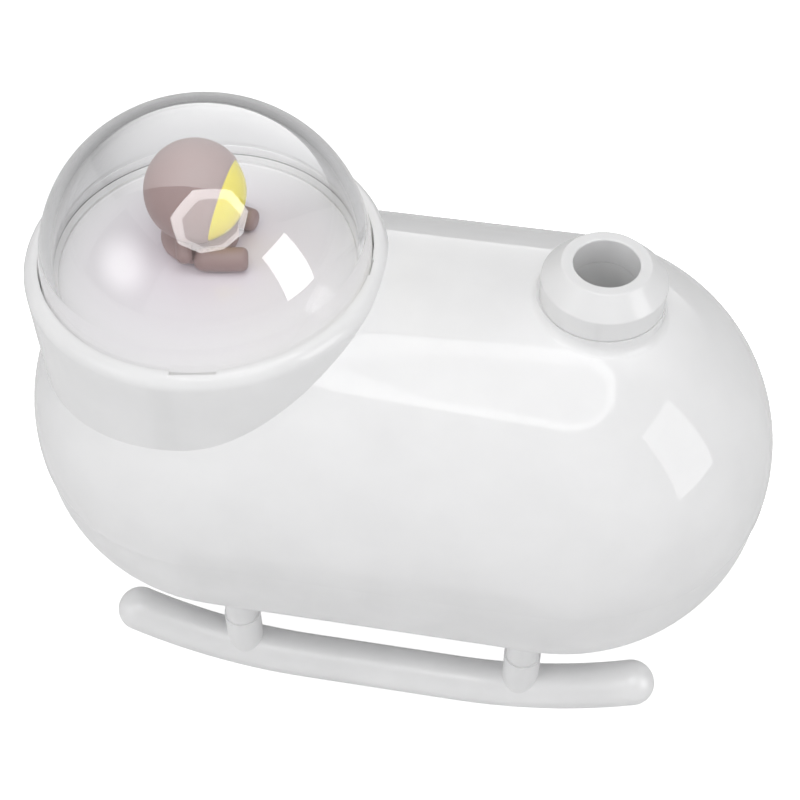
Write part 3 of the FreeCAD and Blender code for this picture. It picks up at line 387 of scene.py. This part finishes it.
textured("black_plastic", (0.03, 0.03, 0.032), (0.045, 0.045, 0.048), (0.4, 0.55), 1600.0, 0.00003)
textured("screw_steel", (0.55, 0.55, 0.57), (0.66, 0.66, 0.68), (0.25, 0.4), 2500.0, 0.00001,
         Metallic=1.0)
textured("inlet_metal", (0.66, 0.66, 0.68), (0.74, 0.74, 0.76), (0.15, 0.25), 2500.0, 0.000005,
         Metallic=1.0)
textured("fin_metal", (0.70, 0.70, 0.71), (0.78, 0.78, 0.79), (0.3, 0.45), 2500.0, 0.00001,
         Metallic=1.0)
textured("disc_metal", (0.70, 0.55, 0.28), (0.80, 0.64, 0.36), (0.2, 0.35), 2500.0, 0.00001,
         Metallic=1.0)
textured("board_green", (0.03, 0.16, 0.08), (0.05, 0.22, 0.11), (0.3, 0.45), 900.0, 0.00002)
textured("part_black", (0.03, 0.03, 0.03), (0.06, 0.06, 0.06), (0.4, 0.6), 1600.0, 0.00002)
textured("lamp_white", (0.80, 0.76, 0.55), (0.88, 0.84, 0.62), (0.2, 0.3), 1200.0, 0.00001)
textured("motor_steel", (0.50, 0.50, 0.52), (0.58, 0.58, 0.60), (0.25, 0.4), 2500.0, 0.00001,
         Metallic=1.0)
textured("magnet_grey", (0.14, 0.14, 0.15), (0.2, 0.2, 0.21), (0.5, 0.7), 1600.0, 0.00003)
textured("reed_glass", (0.70, 0.80, 0.78), (0.75, 0.85, 0.83), (0.05, 0.1), 800.0, 0.00001,
         Transmission_Weight=0.9)
clear_plastic()
deck_plastic()

slot_of = {row["node"]: row["material_slot"] for row in frame["record"]["subparts"]}
for node, obj in frame["nodes"].items():
    obj.data.materials.clear()
    obj.data.materials.append(MATERIALS[slot_of[node]])


# ---------------------------------------------------------------- pieces made here
def lathe(name, profile, origin, axis=(0.0, 0.0, 1.0), turns=192):
    """Turn a profile of (radius, distance along the axis) points about a line through origin."""
    turned = Vector(axis).to_track_quat("Z", "Y")
    points, faces = [], []
    count = len(profile)
    for i in range(turns):
        angle = 2 * math.pi * i / turns
        for radius, along in profile:
            points.append(origin + turned @ Vector((radius * math.cos(angle),
                                                    radius * math.sin(angle), along)))
    for i in range(turns):
        here, after = i * count, (i + 1) % turns * count
        for j in range(count):
            k = (j + 1) % count
            faces.append((here + j, after + j, after + k, here + k))
    obj = mesh_of(name, points, faces)
    clean = bmesh.new()
    clean.from_mesh(obj.data)
    bmesh.ops.remove_doubles(clean, verts=clean.verts, dist=1e-7)
    bmesh.ops.recalc_face_normals(clean, faces=clean.faces)
    clean.to_mesh(obj.data)
    clean.free()
    return obj


def finish_piece(obj, body, slot, stands_for):
    """Material, slot and body for a piece made here, and the CAD node it stands for."""
    obj.data.materials.append(MATERIALS[slot])
    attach(obj, body)
    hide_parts(stands_for)


def arc(centre, radii, start, end, steps):
    """Points of an ellipse's arc, with both ends; angles in degrees."""
    turn = [math.radians(start + (end - start) * i / steps) for i in range(steps + 1)]
    return [(centre[0] + radii[0] * math.cos(t), centre[1] + radii[1] * math.sin(t)) for t in turn]


def smooth_through(points, steps=8):
    """A Catmull-Rom curve through (radius, height) points, with so many steps between two."""
    padded = [points[0], *points, points[-1]]
    curve = []
    for a, b, c, d in zip(padded, padded[1:], padded[2:], padded[3:]):
        for i in range(steps):
            t = i / steps
            curve.append(tuple(
                0.5 * (2 * q + (r - p) * t + (2 * p - 5 * q + 4 * r - s) * t * t
                       + (3 * q - p - 3 * r + s) * t ** 3)
                for p, q, r, s in zip(a, b, c, d)))
    curve.append(points[-1])
    return curve


def make_dome():
    """The clear dome: a domed shell whose wall thins to a narrow rounded rim at its foot."""
    low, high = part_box("clear_dome")
    outer = (high.x - low.x) / 2
    wall = 2.9 * MM
    foot_wall = 1.0 * MM
    rim = 0.3 * MM
    spring = 0.8 * MM              # height of the foot below the round part
    clearance = 0.04 * MM          # so that the foot does not touch its seal
    height = high.z - low.z - clearance
    profile = arc((0, spring), (outer, height - spring), 90, 0, 72)
    profile += arc((outer - rim, rim), (rim, rim), 0, -90, 6)
    profile += arc((outer - foot_wall + rim, rim), (rim, rim), -90, -180, 6)
    # the inside: a taper from the thin foot to the full wall, then a dome of its own
    inside = arc((0, spring), (outer - wall, height - spring - wall), 10, 90, 64)
    taper = [(outer - foot_wall, 2 * rim), (outer - 1.2 * foot_wall, 2.0 * MM),
             (outer - 0.75 * wall, 4.3 * MM), inside[0]]
    profile += smooth_through(taper, 6) + inside[1:]
    foot = Vector(((low.x + high.x) / 2, (low.y + high.y) / 2, low.z + clearance))
    dome = lathe("dome_shell", profile, foot)
    dome.visible_shadow = False
    dome.visible_diffuse = False
    finish_piece(dome, "dome", "clear_plastic", "clear_dome")


GAZE = Vector((0.966, -0.054, -0.254)).normalized()
HEAD_SHARE = 0.97            # the head's radius, as a share of the CAD's
HOOD_REACH = 0.54            # from the head's middle to the hood's opening, along the gaze, as
                             # a share of the head's radius
VISOR_REACH = 0.93           # from the middle to the visor's flat back, as a share of that
VISOR_SHARE = 0.974          # the visor's radius, as a share of the head's


def make_head():
    """A round hood with a rolled edge, and the domed yellow visor that fills its opening."""
    low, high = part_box("figure_hood")
    full = (high.y - low.y) / 2
    radius = HEAD_SHARE * full
    nod = Vector((0.4, 0.0, -1.3)) * MM     # the head has settled onto the body, a little forward
    middle = Vector((low.x + full, (low.y + high.y) / 2, (low.z + high.z) / 2)) + nod
    edge = math.degrees(math.asin(HOOD_REACH))
    roll = 0.25 * MM                        # radius of the rolled edge
    lip = (radius * math.cos(math.radians(edge)) - roll, radius * HOOD_REACH - roll)
    # the ball stops 2 degrees short of the opening; a small arc rolls over into it, and a flat
    # floor behind the visor closes the hood
    hood = arc((0, 0), (radius, radius), -90, edge - 2, 60)
    hood += arc(lip, (roll, roll), edge, 110, 6)
    hood += [(lip[0] - 2 * roll, lip[1]), (0, lip[1] - roll)]
    finish_piece(lathe("hood_ball", hood, middle, GAZE, 128), "housing", "toy_taupe",
                 "figure_hood")
    dome = radius * VISOR_SHARE
    back = radius * HOOD_REACH * VISOR_REACH
    visor = arc((0, 0), (dome, dome), math.degrees(math.asin(back / dome)), 90, 40)
    visor += [(0, back)]
    finish_piece(lathe("visor_cap", visor, middle, GAZE, 128), "housing", "toy_yellow",
                 "figure_visor")


def make_trunk():
    """A pear-shaped body that sits on the deck and runs up into the hood."""
    low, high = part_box("figure_body")
    widest = (high.x - low.x) / 2
    tall = high.z - low.z
    shape = [(0.82, 0.0), (0.96, 0.07), (1.0, 0.22), (0.985, 0.42), (0.87, 0.72), (0.68, 1.0)]
    profile = [(0.0, 0.0)]
    profile += smooth_through([(widest * r, tall * h) for r, h in shape])
    profile += [(0.0, tall)]
    foot = Vector(((low.x + high.x) / 2, (low.y + high.y) / 2, low.z))
    finish_piece(lathe("trunk", profile, foot, turns=96), "housing", "toy_taupe", "figure_body")


def limb(name, radius, start, end, blunt):
    """A soft limb; blunt is how flat its far end is, from 0 (a ball) to 1 (a disc)."""
    along = end - start
    reach = along.length
    tip = radius * (1 - blunt)
    profile = arc((0, 0), (radius, radius), -90, 0, 16)
    profile += [(radius * 1.03, reach * 0.6)]
    profile += arc((radius - tip, reach + radius - tip), (tip, tip), 0, 90, 12)
    profile += [(0, reach + radius)]
    return lathe(name, profile, start, along, 64)


def joined(name, objects):
    """One object from several."""
    mixed = bmesh.new()
    for obj in objects:
        mixed.from_mesh(obj.data)
        bpy.data.objects.remove(obj)
    mesh = bpy.data.meshes.new(name)
    mixed.to_mesh(mesh)
    mixed.free()
    return new_object(name, mesh)


def make_legs():
    """Two stretched-out legs with blunt feet; the far one is a little shorter."""
    low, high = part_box("figure_legs")
    girth = 2.6 * MM
    blunt = 0.45
    hip, foot = high.z - girth, low.z + girth
    back, front = low.x + girth, high.x - girth
    near, far = low.y + girth, high.y - girth
    legs = [limb("near_leg", girth, Vector((back, near, hip)),
                 Vector((front, near + 1.5 * MM, foot)), blunt),
            limb("far_leg", girth, Vector((back, far, hip)),
                 Vector((front - 1.0 * MM, far - 1.2 * MM, foot)), blunt)]
    finish_piece(joined("legs", legs), "housing", "toy_taupe", "figure_legs")


def make_arms():
    """Two short arms with round paws, whose shoulders are tucked into the body."""
    low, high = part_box("figure_arms")
    girth = 1.75 * MM
    tucked = 4.1 * MM
    blunt = 0.15
    arms = []
    for name, paw, inward in (("near_arm", low.y + girth, tucked),
                              ("far_arm", high.y - girth, -tucked)):
        arms.append(limb(name, girth, Vector((low.x + girth, paw + inward, high.z - girth)),
                         Vector((high.x - girth, paw, low.z + girth)), blunt))
    finish_piece(joined("arms", arms), "housing", "toy_taupe", "figure_arms")


make_dome()
make_head()
make_trunk()
make_legs()
make_arms()
